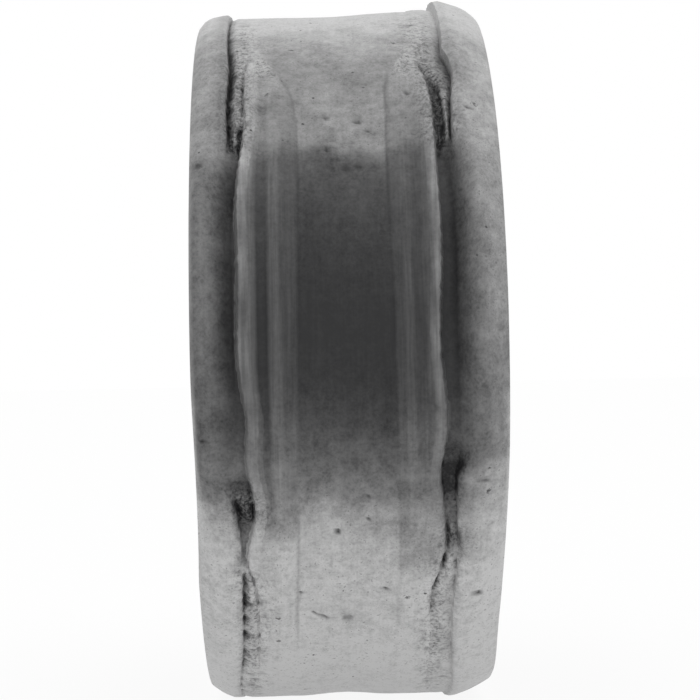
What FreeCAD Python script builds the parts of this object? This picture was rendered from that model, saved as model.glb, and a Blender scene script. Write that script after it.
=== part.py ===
import FreeCAD, Part
import math
import os

# Exhaust hanger ring: one thick ring of moulded rubber that carries an exhaust pipe from a hook.
# It hangs as it does in use, with the bore along X, up along Z and its front towards -Y.
# The origin is the centre of the bore. All sizes are in millimetres.

# The ring
outer_diameter = 70.0       # across the right collar, which is the higher one
ring_width = 27.0           # from one side face to the other
bore_diameter = 34.0
bore_bevel = 2.0            # slope between the bore and a side face, both along and across the axis

# The collars, one along each side of the rim, and the crease at the foot of each
left_crest_width = 0.6      # level top of a collar
right_crest_width = 1.1
left_bevel_width = 2.6      # slope at the outer edge of a collar, along the axis
right_bevel_width = 3.2
bevel_drop = 1.9            # the same slope, towards the axis
bevel_foot_rounding = 0.5   # rounding between that slope and the side face
left_collar_height = 0.4    # how far a collar stands above the drum between the two
right_collar_height = 0.8
crease_width = 0.5          # at the drum's surface
crease_depth = 0.4          # below the drum, at the collar's wall

# The grooves beside the collars, deepest half way up, which run out towards the top and bottom
groove_depth = 1.7          # below the drum, half way up
groove_run_out_angle = 56.0  # degrees around the ring from its front to where a groove runs out
left_groove_width = 1.6     # half way up
right_groove_width = 1.5
left_collar_undercut = 0.5  # how far the left groove reaches into its collar
right_collar_undercut = 0.1
left_groove_bow = 0.9       # how much wider a groove is where it runs out
right_groove_bow = 0.5

# The fin of moulding flash along the inner edge of each groove
fin_thickness = 0.65
fin_height = 0.5            # above the drum, half way up
fin_run_out_angle = 53.0    # degrees around the ring to where a fin sinks into the drum

# The raised pads between the fins and the plain middle band
left_shoulder_width = 1.1   # level strip beside the left fin
right_shoulder_width = 0.4  # level strip beside the right fin
valley_width = 1.2
rib_width = 1.2
rib_slope_width = 0.25      # slope from the rib down to the ledge
ledge_width = 0.7           # level strip beside the middle band
shoulder_height = 0.3       # heights above the drum, half way up
valley_height = 0.15
rib_height = 0.42
ledge_height = 0.22
pad_end_drop = 0.12         # how much lower a pad stands at its ends
pad_end_angle = 50.4        # degrees around the ring to the end of a pad
pad_corner_radius = 1.5     # rounding of a pad's corners, seen from the front

outer_radius = outer_diameter / 2
bore_radius = bore_diameter / 2
half_width = ring_width / 2
drum_radius = outer_radius - right_collar_height
left_radius = drum_radius + left_collar_height
left_collar_x = half_width - left_bevel_width - left_crest_width
right_collar_x = half_width - right_bevel_width - right_crest_width
groove_half_height = drum_radius * math.sin(math.radians(groove_run_out_angle))
pad_half_height = drum_radius * math.sin(math.radians(pad_end_angle))
rounding_share = 0.45       # most of an outline's edge that the rounding at one end may use


def front_point(x, z):
    """A point of the front view, in the plane through the middle of the ring."""
    return FreeCAD.Vector(x, 0, z)


def rounded_outline(corners):
    """A face from corners of (x, z, rounding), each rounded by a tangent arc that its edges allow."""
    points = [front_point(x, z) for x, z, rounding in corners]
    arcs = []
    for index, corner in enumerate(points):
        back = points[index - 1] - corner
        ahead = points[(index + 1) % len(points)] - corner
        half_angle = back.getAngle(ahead) / 2
        longest_setback = rounding_share * min(back.Length, ahead.Length)
        setback = min(corners[index][2] / math.tan(half_angle), longest_setback)
        radius = setback * math.tan(half_angle)
        back.normalize()
        ahead.normalize()
        inward = (back + ahead).normalize()
        middle = corner + inward * (radius / math.sin(half_angle) - radius)
        arcs.append((corner + back * setback, middle, corner + ahead * setback))
    edges = []
    for index, (start, middle, end) in enumerate(arcs):
        edges.append(Part.LineSegment(arcs[index - 1][2], start).toShape())
        if corners[index][2] > 0:
            edges.append(Part.Arc(start, middle, end).toShape())
    return Part.Face(Part.Wire(edges))


def turned(outline, axis_y=0.0):
    """The ring that an outline of the plane through its axis makes when turned about that axis."""
    axis_point = FreeCAD.Vector(0, axis_y, 0)
    return outline.translated(axis_point).revolve(axis_point, FreeCAD.Vector(1, 0, 0), 360)


def band(x_from, x_to, radius_from, radius_to):
    """The outline of a plain ring between two planes across the axis and two radii."""
    low, high = sorted((x_from, x_to))
    return rounded_outline([
        (low, radius_from, 0), (low, radius_to, 0), (high, radius_to, 0), (high, radius_from, 0)
    ])


def from_front(outline):
    """An outline of the front view, carried from the middle of the ring out past its front."""
    return outline.extrude(FreeCAD.Vector(0, -outer_diameter, 0))


def run_out_axis(height, angle):
    """The y of a circle's centre, where the circle passes this height above the front of the drum
    and meets the drum at this angle above and below the front."""
    front = drum_radius + height
    meeting = drum_radius * math.cos(math.radians(angle))
    return (drum_radius ** 2 - front ** 2) / (2 * (front - meeting))


def bowed_strip(x_straight, x_middle, bow):
    """A strip of the front view from a straight edge to one that bows away from it towards its
    ends, by the bow at the half height of the grooves and further past it."""
    bow_radius = (groove_half_height ** 2 + bow ** 2) / (2 * abs(bow))
    reach = outer_radius
    sagitta = bow_radius - math.sqrt(bow_radius ** 2 - reach ** 2)
    x_end = x_middle + math.copysign(sagitta, bow)
    top = front_point(x_end, reach)
    bottom = front_point(x_end, -reach)
    straight_top = front_point(x_straight, reach)
    straight_bottom = front_point(x_straight, -reach)
    return Part.Face(Part.Wire([
        Part.LineSegment(straight_top, top).toShape(),
        Part.Arc(top, front_point(x_middle, 0), bottom).toShape(),
        Part.LineSegment(bottom, straight_bottom).toShape(),
        Part.LineSegment(straight_bottom, straight_top).toShape(),
    ]))


def groove_places(side):
    """The x of a groove's collar edge, the x of its inner edge half way up, and its bow."""
    collar_x = left_collar_x if side < 0 else right_collar_x
    undercut = left_collar_undercut if side < 0 else right_collar_undercut
    width = left_groove_width if side < 0 else right_groove_width
    bow = left_groove_bow if side < 0 else right_groove_bow
    collar_edge = collar_x + undercut
    return side * collar_edge, side * (collar_edge - width), -side * bow


def trimmed_edge(side):
    """The x where raised features start, a quarter of the way into the groove that trims them."""
    collar_edge, inner_edge = groove_places(side)[:2]
    return inner_edge + (collar_edge - inner_edge) / 4


def plain_ring():
    """Bore, side faces, bevelled collars, creases and drum, turned in one piece."""
    bore_face = bore_radius + bore_bevel
    crease_floor = drum_radius - crease_depth
    return turned(rounded_outline([
        (-half_width + bore_bevel, bore_radius, 0),
        (-half_width, bore_face, 0),
        (-half_width, left_radius - bevel_drop, bevel_foot_rounding),
        (-half_width + left_bevel_width, left_radius, 0),
        (-left_collar_x, left_radius, 0),
        (-left_collar_x, crease_floor, 0),
        (-left_collar_x + crease_width, drum_radius, 0),
        (right_collar_x - crease_width, drum_radius, 0),
        (right_collar_x, crease_floor, 0),
        (right_collar_x, outer_radius, 0),
        (half_width - right_bevel_width, outer_radius, 0),
        (half_width, outer_radius - bevel_drop, bevel_foot_rounding),
        (half_width, bore_face, 0),
        (half_width - bore_bevel, bore_radius, 0),
    ]))


def groove(side):
    """What is cut away beside a collar at the front: a strip down to a floor that runs out."""
    collar_edge, inner_edge, bow = groove_places(side)
    strip = from_front(bowed_strip(collar_edge, inner_edge, bow))
    axis_y = run_out_axis(-groove_depth, groove_run_out_angle)
    floor_radius = drum_radius - groove_depth + axis_y
    floor = turned(band(-ring_width, ring_width, 0, floor_radius), axis_y)
    return strip.cut(floor)


def fin(side):
    """The thin fin of flash along the inner edge of a groove at the front."""
    inner_edge, bow = groove_places(side)[1:]
    blade = from_front(bowed_strip(trimmed_edge(side), inner_edge - side * fin_thickness, bow))
    axis_y = run_out_axis(fin_height, fin_run_out_angle)
    crest_radius = drum_radius + fin_height + axis_y
    crest = turned(band(-half_width, half_width, crest_radius - groove_depth, crest_radius), axis_y)
    return blade.common(crest)


def pad(side):
    """A raised pad at the front, with a shoulder, a valley, a rib and a ledge across its width."""
    shoulder_width = left_shoulder_width if side < 0 else right_shoulder_width
    groove_edge = groove_places(side)[1]
    axis_y = -pad_end_drop / (1 - math.cos(math.radians(pad_end_angle)))
    level = drum_radius + axis_y
    root = level - groove_depth
    widths = (fin_thickness + shoulder_width, valley_width, rib_width, rib_slope_width, ledge_width)
    places = [groove_edge - side * sum(widths[:count]) for count in range(1, len(widths) + 1)]
    shoulder, rib_outer, rib_inner, ledge_outer, ledge_inner = places
    valley = (shoulder + rib_outer) / 2
    trimmed = trimmed_edge(side)
    section = rounded_outline([
        (trimmed, root, 0),
        (trimmed, level + shoulder_height, 0),
        (shoulder, level + shoulder_height, 0),
        (valley, level + valley_height, 0),
        (rib_outer, level + rib_height, 0),
        (rib_inner, level + rib_height, 0),
        (ledge_outer, level + ledge_height, 0),
        (ledge_inner, level + ledge_height, 0),
        (ledge_inner, root, 0),
    ])
    plan = rounded_outline([
        (trimmed, -pad_half_height, 0),
        (trimmed, pad_half_height, 0),
        (ledge_inner, pad_half_height, pad_corner_radius),
        (ledge_inner, -pad_half_height, pad_corner_radius),
    ])
    return turned(section, axis_y).common(from_front(plan))


def front_and_back(solid):
    """A feature of the front and its mirror image at the back."""
    return [solid, solid.mirror(FreeCAD.Vector(0, 0, 0), FreeCAD.Vector(0, 1, 0))]


def hanger_ring():
    raised = []
    cut_away = []
    for side in (-1, 1):
        raised += front_and_back(fin(side)) + front_and_back(pad(side))
        cut_away += front_and_back(groove(side))
    return plain_ring().fuse(raised).cut(cut_away).removeSplitter()


os.makedirs("parts", exist_ok=True)
ring = hanger_ring()
if len(ring.Solids) != 1:
    raise SystemExit("the ring is not one solid")
ring.Solids[0].exportStep("parts/hanger_ring.step")
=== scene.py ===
import math
import random
from types import SimpleNamespace

import bpy
import numpy as np
from mathutils import Matrix, Vector, noise


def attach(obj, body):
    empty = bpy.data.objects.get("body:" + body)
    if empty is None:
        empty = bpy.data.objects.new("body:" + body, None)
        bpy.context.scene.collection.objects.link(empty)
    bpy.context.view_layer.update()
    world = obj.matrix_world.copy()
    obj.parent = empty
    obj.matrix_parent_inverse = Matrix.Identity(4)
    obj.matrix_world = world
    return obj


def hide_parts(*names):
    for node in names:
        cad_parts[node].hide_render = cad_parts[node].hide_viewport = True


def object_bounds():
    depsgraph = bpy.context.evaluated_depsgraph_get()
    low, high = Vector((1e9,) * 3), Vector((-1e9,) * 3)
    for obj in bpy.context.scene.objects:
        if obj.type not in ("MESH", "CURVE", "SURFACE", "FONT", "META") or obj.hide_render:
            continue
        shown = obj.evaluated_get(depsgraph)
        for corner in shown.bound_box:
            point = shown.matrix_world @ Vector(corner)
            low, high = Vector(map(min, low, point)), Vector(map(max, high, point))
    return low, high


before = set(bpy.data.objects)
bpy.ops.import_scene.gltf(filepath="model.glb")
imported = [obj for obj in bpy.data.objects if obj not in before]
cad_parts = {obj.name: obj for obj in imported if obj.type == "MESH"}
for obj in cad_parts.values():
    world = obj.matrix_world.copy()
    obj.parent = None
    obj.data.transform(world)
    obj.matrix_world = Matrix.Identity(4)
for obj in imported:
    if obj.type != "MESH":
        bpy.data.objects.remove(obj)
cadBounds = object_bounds()

# Exhaust hanger: a thick moulded rubber ring, hung with its bore along X and its front towards -Y.
# Sizes in the dictionaries are millimetres and degrees, and the scene itself is in metres.
# Degrees around the ring count from its front: 90 is its top, -90 its bottom and 180 its back.
mm = 0.001


# small helpers
def linearColour(hexText):
    channels = [int(hexText[i:i + 2], 16) / 255 for i in (1, 3, 5)]
    return [c / 12.92 if c <= 0.04045 else ((c + 0.055) / 1.055) ** 2.4 for c in channels] + [1.0]


def addNode(tree, kind, settings=None, links=None):
    # settings: a property's name, or an input's name or number, and its value
    # links: an input's name or number, and the output or the node (its first output) that feeds it
    node = tree.nodes.new(kind)
    for key, value in (settings or {}).items():
        if isinstance(key, str) and hasattr(node, key):
            setattr(node, key, value)
        else:
            node.inputs[key].default_value = value
    for key, source in (links or {}).items():
        tree.links.new(source.outputs[0] if isinstance(source, bpy.types.Node) else source, node.inputs[key])
    return node


def clearSelection():
    if bpy.context.object and bpy.context.object.mode != "OBJECT":
        bpy.ops.object.mode_set(mode="OBJECT")
    bpy.ops.object.select_all(action="DESELECT")


def rise(value, start, end):
    # 0 before start, 1 after end, and a soft slope between them
    t = np.clip((value - start) / (end - start), 0, 1)
    return t * t * (3 - 2 * t)


def part(value, span):
    # span: where a soft rise starts and ends, and how much it comes to
    start, end, most = span
    return most * rise(value, start, end)


def bell(value, place, reach, power=2):
    # 1 at its place, and less on both sides; a higher power has a flatter top and steeper sides
    return np.exp(-((value - place) / reach) ** power)


def straightLine(points, at):
    # straight stretches through a few (degrees, value) points
    return np.interp(at, *zip(*points))


def smoothLine(points, at):
    # a soft curve through a few (degrees, value) points
    knots = np.array(sorted(points), float)
    place, value = knots[:, 0], knots[:, 1]
    slope = np.gradient(value, place)
    i = np.clip(np.searchsorted(place, at) - 1, 0, len(place) - 2)
    span = place[i + 1] - place[i]
    t = np.clip((at - place[i]) / span, 0, 1)
    return ((2 * t ** 3 - 3 * t ** 2 + 1) * value[i] + (t ** 3 - 2 * t ** 2 + t) * span * slope[i]
            + (3 * t ** 2 - 2 * t ** 3) * value[i + 1] + (t ** 3 - t ** 2) * span * slope[i + 1])


def wobble(degrees, seed, size, fewest, most):
    # uneven waves that close on themselves once around the ring
    chance = random.Random(seed)
    waves = [(chance.randint(fewest, most), chance.uniform(0, 2 * math.pi)) for _ in range(9)]
    total = sum(np.sin(np.radians(degrees) * count + phase) for count, phase in waves)
    return size * total / math.sqrt(len(waves))


# camera
cameraPlace = {
    "location": (-3.64, -190.0, 0.43),
    "lens": 95.8,
    "turn": 0.0233,      # radians to its right
    "tilt": -0.0027,     # radians up
    "roll": -0.0204,
    "sensor": 36,
    "nearest": 5.0,      # what is closer than this isn't drawn
}


def placeCamera():
    c = cameraPlace
    sideways = Vector((math.cos(c["turn"]), -math.sin(c["turn"]), 0))
    ahead = Vector((math.sin(c["turn"]) * math.cos(c["tilt"]),
                    math.cos(c["turn"]) * math.cos(c["tilt"]), math.sin(c["tilt"])))
    upwards = sideways.cross(ahead)
    right = math.cos(c["roll"]) * sideways + math.sin(c["roll"]) * upwards
    up = math.cos(c["roll"]) * upwards - math.sin(c["roll"]) * sideways
    turned = Matrix((right, up, -ahead)).transposed().to_4x4()
    bpy.ops.object.camera_add()
    camera = bpy.context.object
    camera.name = "camera"
    camera.matrix_world = Matrix.Translation(Vector(c["location"]) * mm) @ turned
    camera.data.lens = c["lens"]
    camera.data.sensor_width = c["sensor"]
    camera.data.clip_start = c["nearest"] * mm
    bpy.context.scene.camera = camera
    print("camera placed")


# the ring's form
ringForm = {
    "outerRadius": cadBounds[1][2] / mm,
    "halfWidth": cadBounds[1][0] / mm,
    "boreRadius": 17.0,
    "boreBevel": 2.0,
    "inside": 0.01,            # how far the form stays inside the CAD's box
    "sections": 628,           # sections of the mesh around the ring
    "frontDensity": 0.25,      # how much closer they stand at the front than on average
    "bandCuts": 30,            # mesh loops across the plain middle band
    "flankCuts": 8,            # and down a side face
    "mostCuts": 100,           # of one subdivide, so across the rim the mesh takes the loops nearest to it
    "smoothBelow": 55,         # degrees between two faces that are shaded as one surface
    "boreLoops": (1.0, 0.92, 0.4, 0.0, -0.4, -0.92, -1.0),    # where loops run across the bore
    "easing": (8, 0.25, 0.75),       # rounds that ease hard corners, how much, and more in a whole groove
    "drumWaves": (5, 0.03, 3, 12),    # seed, size, and fewest and most waves around the drum
    "bandDip": (0.3, 0.17),    # how much lower the middle of the band is, at the bottom and at the top
    "padEnd": (49.5, 52.0),    # how far down and up the front the pads reach
    "padSlope": (2.0, 1.5),    # where a pad starts to fall before its end, and where it ends after it
    "padFall": (20, 48, 0.15),       # away from the front: from, to, and the share of a pad's height lost
    "reliefFade": (22, 40, 0.7),     # down the front: the same for the relief across a pad
    "padEdge": (0.08, 0.05),         # its inner wall goes from this far outside its line to this far inside
    "leastStrip": 0.08,        # a strip's least share of a pad's width
    # up (1) or down (-1) the front: from, to, and the share of its height that the flash loses there
    "flashFades": [(1, (38, 51, 1.0)), (-1, (5, 24, 0.8)), (-1, (26, 44, 0.2))],
    "flashTop": (0.85, 0.97),        # its height where it is even, and how much of it its inner edge has
    "collarWall": 0.08,        # least width of the wall between a collar's foot and its crest
    "leastCrest": 0.3,
    "flankSteps": (0.35, 1.2),       # loops on a side face, this far below the collar's bevel
    "boreSteps": (1.0, 0.1),         # loops this far outside the bore's bevel and above its foot
}

# the grooves' section: a floor, or a strip of the drum that stands between two cracks
grooveForm = {
    "deepest": 1.6,
    "deepestCrack": 1.4,
    "leastCrease": 0.05,       # depth at the collar's wall where nothing is cut away
    "stripDepth": 0.12,        # how far the strip's top lies below the drum
    "upperCalm": 0.35,         # how uneven the cracks at the top are, as a share of those at the bottom
    "floorEdge": 0.3,          # share of a groove's width on each side of its floor
    "backGap": 0.3,            # width of the cracks at the back
    "widestCrack": 0.42,       # share of a groove's width
    "least": (0.1, 0.12, 0.25),      # least width of a crack, of the strip and of the whole groove
    "leastStep": 0.02,         # how far a strip or a foot stands off the floor or the flash beside it
    "steeper": 0.6,            # how much closer to the flash the inner wall's top is in a whole groove
    "innerWall": (0.75, 0.05),       # where that wall ends, as a share of its width, and the least width
    "backTongue": (36, 44),    # degrees from the middle of the back where the strip rises
    "backCrack": [(40, 0.3), (50, 0.15), (54, 0.0)],
    "backFloor": [(0, 1.4), (20, 1.35), (35, 0.9), (45, 0.5), (56, 0.0), (90, 0.0)],
    "backCalm": 50,            # degrees from the middle of the back where its lines run straight
}

# how uneven the moulding is: what is added to the edge's seed, size, and fewest and most waves
unevenness = {
    "flashLine": (0, 0.035, 90, 230),
    "collarLine": (1, 0.03, 60, 200),
    "backFlash": (2, 0.1, 9, 30),
    "padLine": (3, 0.02, 20, 90),
    "crest": (4, 0.01, 5, 40),
    "flashHeight": (7, 0.2, 8, 60),
    "grooveDepth": (9, 0.04, 8, 40),     # share of its depth, as are the cracks'
    "crackDepth": (10, 0.35, 25, 110),
}

# the lines that a section runs through, from the side face to the middle band, each with the number
# of mesh loops up to the next
railCuts = {
    "face": 7, "bevelTop": 3, "crest": 5, "foot": 2, "floorOuter": 4, "floorInner": 2, "crackOuter": 2,
    "crackInner": 4, "flashOuter": 3, "flashInner": 2, "flashFoot": 3, "shoulder": 2, "valleyOuter": 3,
    "valleyInner": 3, "rib": 3, "ledge": 3, "ledgeEnd": 2, "padEdge": 0,
}

# Lines that run around the ring are (degrees, distance from the middle of the ring's width),
# and depths and heights are (degrees, millimetres).
leftEdge = {
    "side": -1,
    "seed": 11,
    "backLines": {"collarLine": 10.75, "flashLine": 9.2, "padLine": 4.5, "faceLine": 13.45},
    "drum": (34.0, 0.66),          # its radius at the front, and how much less it is at the top
    "crest": (34.33, 0.475, 0.175),    # the same for the crest, and how much less at top and bottom
    "collarLine": [(-90, 10.34), (-62.8, 10.39), (-51.8, 9.91), (-39.3, 9.66), (-31.1, 9.54), (-26.1, 9.69),
                   (-23.0, 9.94), (-20.5, 10.44), (-18.3, 10.88), (-11.0, 10.78), (-4.0, 10.82), (7.4, 10.87),
                   (18.7, 10.9), (25.6, 10.54), (32.4, 10.19), (40.0, 10.3), (49.3, 10.14), (56.2, 10.34),
                   (90, 10.34)],
    "flashLine": [(-90, 8.65), (-55.0, 8.44), (-43.4, 8.23), (-37.2, 8.37), (-31.1, 9.07), (-28.0, 8.75),
                  (-25.5, 8.4), (-23.0, 8.27), (-20.5, 8.45), (-17.5, 8.85), (-13.5, 8.92), (-10.0, 8.8),
                  (-6.5, 9.15), (-2.5, 9.45), (2.9, 9.55), (6.9, 9.5), (14.8, 9.45), (22.7, 9.5),
                  (27.5, 9.3), (32.4, 8.92), (36.0, 8.72), (40.0, 8.7), (45.6, 8.75), (51.1, 8.65),
                  (90, 8.65)],
    "padLine": [(-90, 5.17), (-45.5, 5.07), (-26.1, 4.72), (-6.0, 4.47), (18.7, 4.27), (29.5, 4.22),
                (38.1, 4.42), (41.9, 4.67), (45.6, 5.37), (50.2, 6.36), (90, 6.36)],
    "faceLine": [(-90, 13.5), (-46.5, 13.5), (-37, 13.48), (-31, 13.35), (-21, 13.28), (-13, 13.35),
                 (-6, 13.46), (0, 13.49), (38.1, 13.5), (90, 13.5)],
    "bevelWidth": (2.0, 2.5),      # at the bottom and at the top
    "bevelDrop": (1.25, 1.5),      # the same slope, towards the axis
    "bevelRound": (0.2, 1.0),      # 0 is a straight bevel, 1 a rounded edge
    "lip": (0.0, 0.0),             # how far the crest slopes down outwards, at the bottom and at the top
    "lean": (0.9, 1.5),            # how far the collar's foot and crest lie into the groove and back from it
    "flash": (0.05, 0.48, 0.98),   # from its outer line to the start and end of its top, and to its foot
    "flashHeight": 0.5,
    # lines across the pad: distance from the middle, and height above the drum
    "across": {"shoulder": (8.25, 0.3), "valleyOuter": (7.7, 0.05), "valleyInner": (6.95, 0.05),
               "rib": (6.4, 0.42), "ledge": (5.5, 0.18)},
    "floor": [(-90, 0), (-56, 0.05), (-40, 0.25), (-31, 0.5), (-28, 0.8), (-24, 1.0), (-20.5, 0.9),
              (-18.5, 0.5), (-14, 0.4), (-10, 0.6), (-6, 0.95), (0, 1.2), (15, 1.25), (25, 1.3),
              (31, 1.2), (40, 0.6), (52, 0.1), (90, 0)],
    # down and up the front, where a strip of the drum rises in the groove, and the cracks beside it
    "tongue": [(31.5, 35.0), (29.9, 33.9)],
    "outerGap": [(-90, 0.3), (-55, 0.38), (-39, 0.42), (-31, 0.5), (31, 0.55), (51, 0.55), (90, 0.35)],
    "innerGap": [(-56, 0.15), (-37, 0.18), (-31, 0.25), (31, 0.55), (36, 0.45), (40, 0.22), (51, 0.2),
                 (90, 0.2)],
    "outerCrack": [(-90, 0.1), (-55, 0.4), (-39, 0.6), (-31, 0.6), (31, 1.2), (42, 1.2), (49, 1.1),
                   (56, 0.8), (90, 0.3)],
    "innerCrack": [(-90, 0), (-60, 0), (-55, 0.2), (-39, 0.32), (-31, 0.6), (31, 0.9), (34, 0.75),
                   (36.5, 0.35), (47, 0.3), (51, 0.1), (54, 0), (90, 0)],
    "island": (-23.0, 2.6, 0.85),  # a torn strip in the groove, its place, half its length, and its height
    "tear": (-26.0, 7.5),          # where the groove is torn open, and half its length
    "collarBloomAndShade": (0.06, 0.19, 0.0),    # beside the groove, at the side face, and share kept in full bloom; the lower share beside the groove is partly painted shade
    "padBloom": (24.0, 38.0),      # how far down and up the front a pad has less bloom than the band
    "collarStart": 21.0,           # how far down the front the collar's bloom begins
    "inwardShade": (0.1, 1.9),     # painted shade: how much darker the collar is beside its crack, where its top faces inwards, and how far out
    "bareFlash": (0.0, 0.35),      # share of the pads' lack of bloom that the flash has, down and up
    "padSeam": (0.5, 0.6),         # dirt along the pad's inner edge, at the bottom and at the top
    # how far rubbed to grey, partly as painted highlight on the flash and the raised strips
    "tones": {"flash": 0.2, "shoulder": 0.15, "valley": 0.0, "rib": 0.15, "ledge": 0.05},
    "crackShade": 0.35,                  # painted shade on the collar beside its upper crack
    "lift": (52, 80, 0.0),         # up the front: from, to, and how much higher the drum is beside the collar
}

rightEdge = {
    "side": 1,
    "seed": 23,
    "backLines": {"collarLine": 9.4, "flashLine": 7.7, "padLine": 4.0, "faceLine": 13.45},
    "drum": (34.2, 0.45),
    "crest": (34.95, 0.0, 0.0),
    "collarLine": [(-90, 9.24), (-65.2, 9.39), (-52.8, 8.97), (-40.3, 8.75), (-32.1, 9.06), (-29.1, 9.01),
                   (-23.0, 8.93), (-19.0, 8.94), (-16.5, 9.24), (-14.0, 9.39), (-9.0, 9.34), (-3.0, 9.47),
                   (3.9, 9.44), (13.8, 9.54), (23.6, 9.44), (31.4, 9.3), (39.1, 9.5), (48.4, 9.6),
                   (51.1, 9.14), (56.2, 9.19), (90, 9.24)],
    "flashLine": [(-90, 6.76), (-47.6, 6.76), (-41.3, 6.75), (-39.3, 6.76), (-34.2, 7.5), (-30.1, 7.95),
                  (-27.0, 7.95), (-22.0, 7.75), (-18.0, 7.55), (-15.5, 7.75), (-13.0, 8.0), (-9.0, 8.1),
                  (-4.3, 7.92), (0.5, 7.7), (6.7, 7.8), (12.4, 8.0), (19.1, 8.05), (23.3, 8.0), (31.4, 7.9),
                  (36.2, 7.85), (41.9, 7.7), (45.6, 7.35), (49.4, 6.85), (56.2, 6.66), (90, 6.76)],
    "padLine": [(-90, 4.08), (-34.2, 4.03), (-16.0, 3.98), (3.9, 3.88), (31.4, 3.73), (37.2, 3.83),
                (44.7, 3.98), (48.4, 4.47), (51.1, 5.17), (90, 5.17)],
    "faceLine": [(-90, 13.5), (-62, 13.45), (-50, 13.2), (-38, 13.2), (-28, 13.3), (-15, 13.45), (0, 13.48),
                 (30, 13.5), (55, 13.45), (90, 13.4)],
    "bevelWidth": (3.3, 2.6),
    "bevelDrop": (1.5, 1.9),
    "bevelRound": (0.2, 0.5),
    "lip": (0.0, 0.45),
    "lean": (0.2, 1.5),
    "flash": (0.05, 0.5, 0.95),
    "flashHeight": 0.5,
    "across": {"shoulder": (6.5, 0.2), "valleyOuter": (6.2, 0.05), "valleyInner": (5.6, 0.05),
               "rib": (5.1, 0.3), "ledge": (4.5, 0.12)},
    "floor": [(-90, 0), (-44, 0.05), (-34, 0.25), (-30, 0.45), (-26, 0.6), (-22, 0.9), (-18, 1.2),
              (-15.5, 1.1), (-13.5, 0.65), (-9, 0.55), (-5, 0.95), (0, 1.3), (25, 1.5), (33, 1.4),
              (44, 0.9), (52, 0.2), (90, 0)],
    "tongue": [(29.5, 33.0), (29.9, 33.9)],
    "outerGap": [(-90, 0.25), (-31, 0.25), (31, 0.25), (39, 0.4), (51, 0.3), (90, 0.3)],
    "innerGap": [(-90, 0.15), (-43, 0.15), (-37, 0.2), (-31, 0.4), (31, 1.1), (36, 1.1), (42, 1.0),
                 (46, 0.6), (49, 0.3), (90, 0.2)],
    "outerCrack": [(-90, 0.1), (-52, 0.14), (-39, 0.2), (-31, 0.5), (31, 0.8), (43, 0.6), (51, 0.5),
                   (63, 0.4), (90, 0.25)],
    "innerCrack": [(-90, 0), (-44.4, 0), (-41.3, 0.4), (-34.2, 0.5), (-31.5, 0.9), (31.4, 1.3), (38.1, 1.2),
                   (41.9, 0.85), (45.6, 0.45), (49.3, 0.2), (51.1, 0), (90, 0)],
    "island": (-28.0, 2.8, 0.5),
    "tear": (-23.2, 8.3),
    "collarBloomAndShade": (0.08, 0.36, 0.45),
    "padBloom": (31.0, 36.0),
    "collarStart": 15.5,
    "inwardShade": (0.42, 3.6),
    "bareFlash": (1.0, 1.0),
    "padSeam": (0.15, 0.8),
    "tones": {"flash": 0.27, "shoulder": 0.08, "valley": 0.03, "rib": 0.1, "ledge": 0.04},
    "crackShade": 0.1,
    "lift": (52, 80, 0.2),
}

# Pits in the surface: across the width, degrees around the ring, radius, depth.
pits = [
    (-1.28, -27.0, 0.32, 0.35), (-0.46, -44.0, 0.42, 0.3), (-4.48, -38.1, 0.2, 0.2),
    (2.78, -37.5, 0.22, 0.2), (1.39, -21.4, 0.2, 0.18), (1.38, -24.9, 0.2, 0.2), (-1.52, 31.0, 0.28, 0.28),
    (-1.6, 37.4, 0.3, 0.2), (1.25, 36.1, 0.3, 0.2), (2.0, 34.2, 0.22, 0.2), (5.7, 41.8, 0.28, 0.2),
    (10.99, 37.5, 0.3, 0.22), (-12.6, 28.3, 0.35, 0.2), (10.96, -38.7, 0.3, 0.3),
    (11.24, -19.0, 0.22, 0.2), (-12.54, -12.5, 0.25, 0.15), (8.3, -63.3, 0.4, 0.3),
    # a row of three in the band's upper part, and a short scratch in its lower part
    (-1.2, 27.5, 0.3, 0.15), (0.1, 27.3, 0.35, 0.15), (1.2, 27.6, 0.3, 0.15),
    (-3.5, -42.3, 0.2, 0.12), (-3.05, -42.9, 0.2, 0.12), (-2.6, -43.4, 0.22, 0.15), (-2.2, -43.7, 0.2, 0.12),
]


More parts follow.
